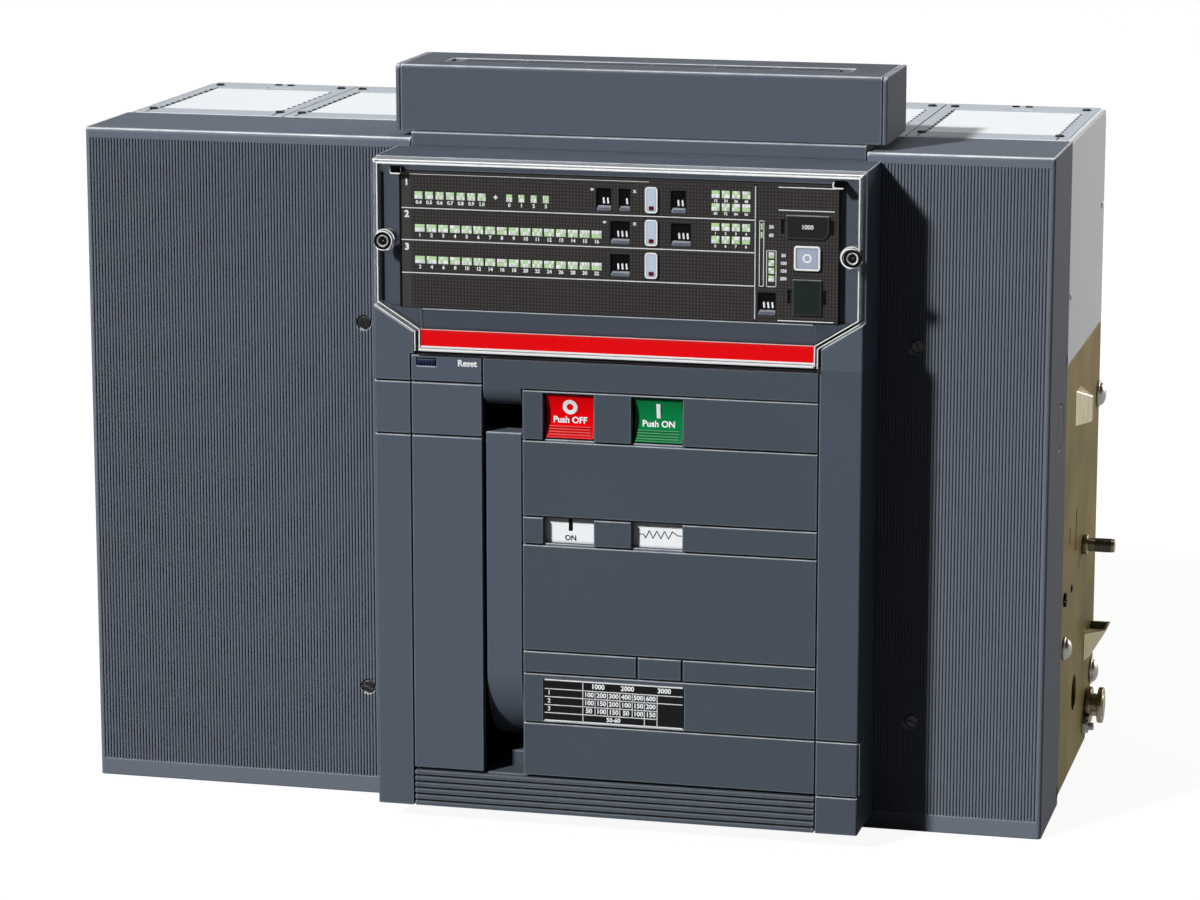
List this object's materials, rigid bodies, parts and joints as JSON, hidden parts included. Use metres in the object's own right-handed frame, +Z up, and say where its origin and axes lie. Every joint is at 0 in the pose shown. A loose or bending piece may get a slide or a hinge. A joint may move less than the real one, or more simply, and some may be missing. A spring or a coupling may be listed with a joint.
{
  "type": "low-voltage air circuit breaker",
  "caption": "Fixed low-voltage air circuit breaker with ribbed side covers, a control panel with charging lever and keys, a protection relay, arc chutes and rear terminals.",
  "frame": {"origin": "on the floor, in the middle of the four floor bolts", "axes": "+Z up, the operating panel faces -Y, +X to the right when facing the panel"},
  "size_m": [0.604, 0.3405, 0.4313],
  "materials": {
    "slate_plastic": "fine moulded texture",
    "case_resin": "moulded resin",
    "chute_grey": "moulded",
    "filter_white": "matt",
    "panel_grey": "satin moulded",
    "zinc_steel": "yellow passivated",
    "bright_steel": "turned",
    "mechanism_black": "matt paint",
    "silvered_copper": "silver plated",
    "relay_black": "satin",
    "clear_cover": "clear moulded",
    "signal_red": "gloss",
    "signal_green": "gloss",
    "reset_blue": "gloss",
    "test_grey": "satin",
    "cap_green": "satin",
    "flag_white": "satin"
  },
  "bodies": {
    "breaker": {"pole_case": "case_resin", "left_side_plate": "zinc_steel", "right_side_plate": "zinc_steel", "left_lifting_lug": "zinc_steel", "right_lifting_lug": "zinc_steel", "left_lock_pin": "bright_steel", "right_lock_pin": "bright_steel", "left_guide_roller": "bright_steel", "right_guide_roller": "bright_steel", "left_foot_rail": "zinc_steel", "right_foot_rail": "zinc_steel", "left_chute_panel": "panel_grey", "right_chute_panel": "panel_grey", "arc_chute_1": "chute_grey", "arc_chute_2": "chute_grey", "arc_chute_3": "chute_grey", "arc_chute_4": "chute_grey", "arc_chute_5": "chute_grey", "arc_chute_6": "chute_grey", "chute_filters": "filter_white", "upper_terminal_1": "silvered_copper", "upper_terminal_2": "silvered_copper", "upper_terminal_3": "silvered_copper", "lower_terminal_1": "silvered_copper", "lower_terminal_2": "silvered_copper", "lower_terminal_3": "silvered_copper", "left_side_cover": "slate_plastic", "right_side_cover": "slate_plastic", "left_mechanism_block": "mechanism_black", "right_mechanism_block": "mechanism_black", "upper_frame": "slate_plastic", "terminal_box": "slate_plastic", "left_box_end": "slate_plastic", "right_box_end": "slate_plastic", "front_shell": "slate_plastic", "lever_fascia": "slate_plastic", "head_fascia": "slate_plastic", "control_fascia": "slate_plastic", "vent_grille": "slate_plastic", "relay_body": "relay_black", "relay_cover": "clear_cover", "red_strip": "signal_red", "rating_plug": "relay_black", "test_key": "test_grey", "connector_cap": "cap_green", "contact_flag": "flag_white", "spring_flag": "flag_white", "lever_pin": "bright_steel"},
    "off_key": {"off_button": "signal_red"},
    "on_key": {"on_button": "signal_green"},
    "reset_key": {"reset_button": "reset_blue"},
    "lever": {"charging_lever": "slate_plastic"}
  },
  "joints": [
    {"name": "off_press", "type": "slide", "parent": "breaker", "child": "off_key", "axis": [0, 1, 0], "range_m": [0, 0.004], "stiffness_N_per_m": 400, "springref_m": -0.004},
    {"name": "on_press", "type": "slide", "parent": "breaker", "child": "on_key", "axis": [0, 1, 0], "range_m": [0, 0.004], "stiffness_N_per_m": 400, "springref_m": -0.004},
    {"name": "reset_press", "type": "slide", "parent": "breaker", "child": "reset_key", "axis": [0, 1, 0], "range_m": [0, 0.003], "stiffness_N_per_m": 300, "springref_m": -0.003},
    {"name": "lever_swing", "type": "hinge", "parent": "breaker", "child": "lever", "pos_m": [-0.01915, -0.151, 0.0915], "axis": [1, 0, 0], "range_deg": [0, 60], "stiffness_Nm_per_rad": 0.5, "springref_deg": -34.38}
  ]
}
